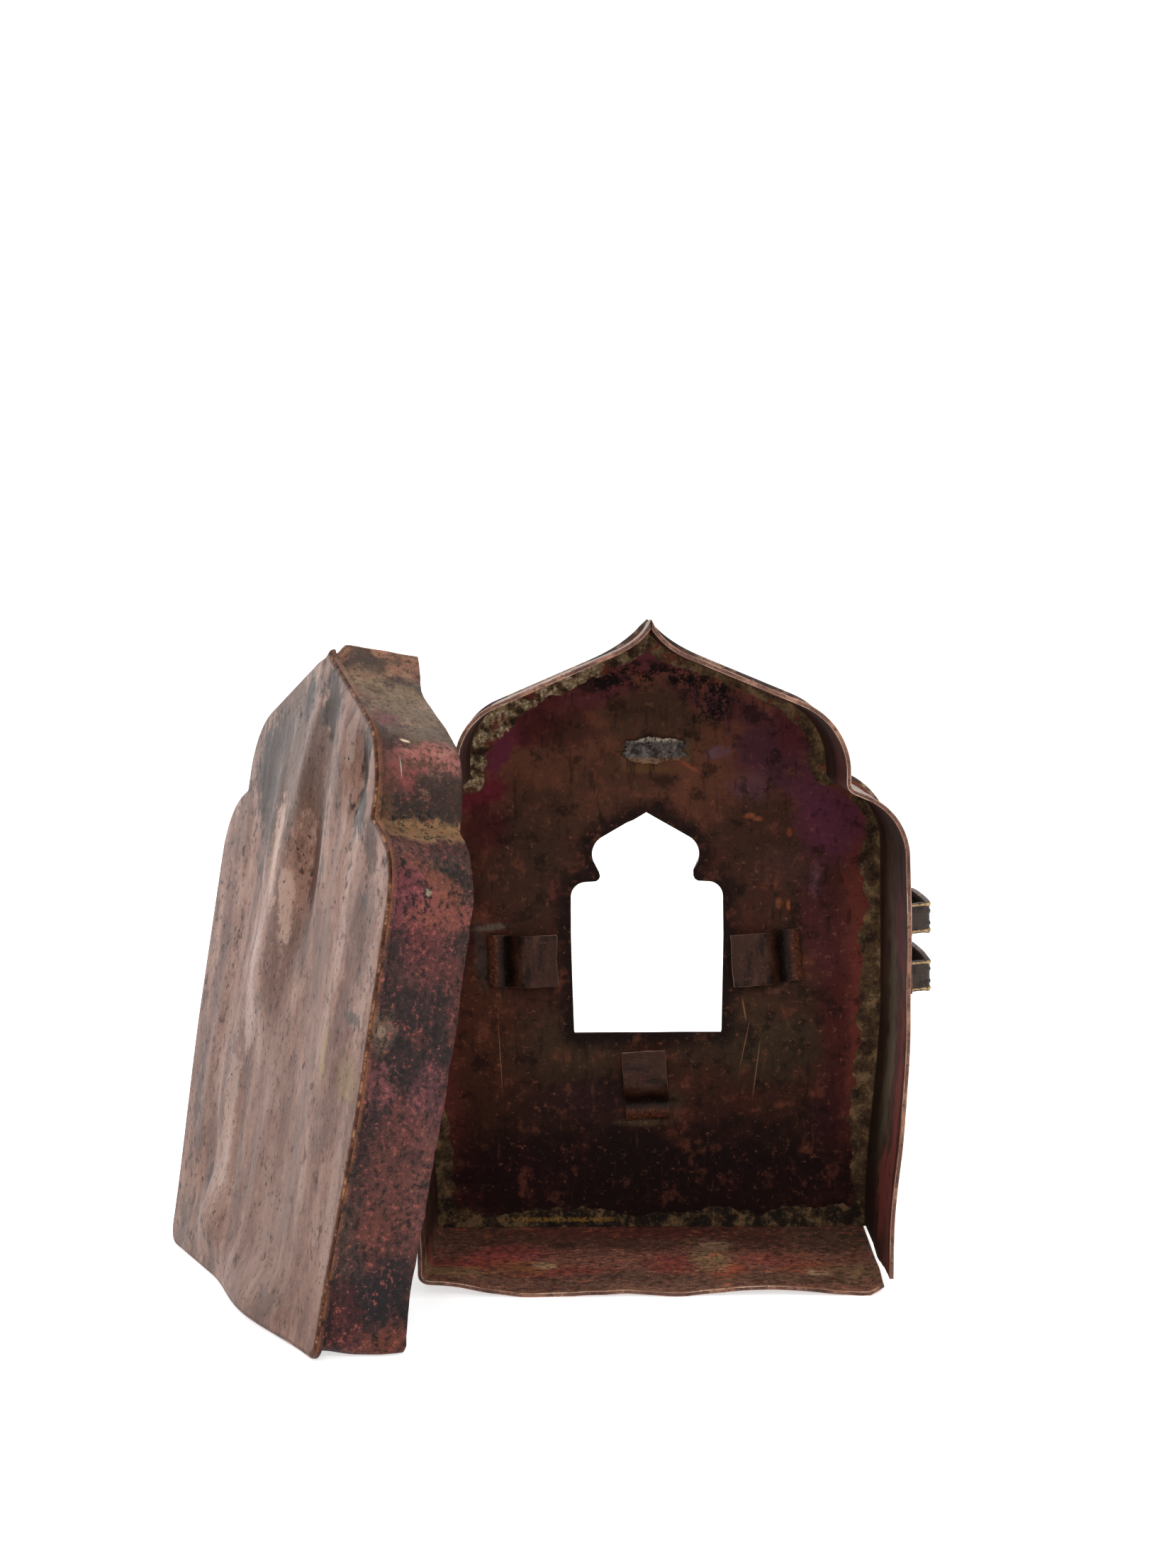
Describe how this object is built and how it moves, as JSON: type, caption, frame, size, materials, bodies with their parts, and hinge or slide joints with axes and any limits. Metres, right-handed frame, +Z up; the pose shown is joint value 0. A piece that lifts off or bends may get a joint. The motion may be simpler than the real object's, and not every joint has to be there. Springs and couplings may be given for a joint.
{
  "type": "gau amulet box",
  "caption": "Old copper shrine box with a keel-arched outline: an open shell with a stepped window, strap loops and inner clips, and a shallow back cover leaning beside it.",
  "frame": {"origin": "on the ground, below the middle of the shell's depth and width", "axes": "+Z up; +Y out of the shell's windowed front plate; the open back faces -Y; the cover stands on the -X side"},
  "size_m": [0.1851, 0.1154, 0.1551],
  "materials": {
    "shell_copper": "dark aged copper, worn edges",
    "plate_copper": "dark red-brown patina",
    "clip_copper": "dull brown with worn edges",
    "solder": "dull grey tin solder",
    "loop_copper": "nearly black, brassy raised lines",
    "cover_face_copper": "mauve-brown, dented and rubbed",
    "cover_rim_copper": "mottled red, tan and black patina"
  },
  "bodies": {
    "root": {"front_plate": "plate_copper", "wall_left_and_floor": "shell_copper", "wall_right": "shell_copper", "clip_left": "clip_copper", "clip_right": "clip_copper", "clip_lower": "clip_copper", "solder_patch": "solder", "strap_loop_right_upper": "loop_copper", "strap_loop_right_lower": "loop_copper", "strap_loop_left_upper": "loop_copper", "strap_loop_left_lower": "loop_copper", "cover_plate": "cover_face_copper", "cover_rim": "cover_rim_copper"}
  },
  "joints": []
}
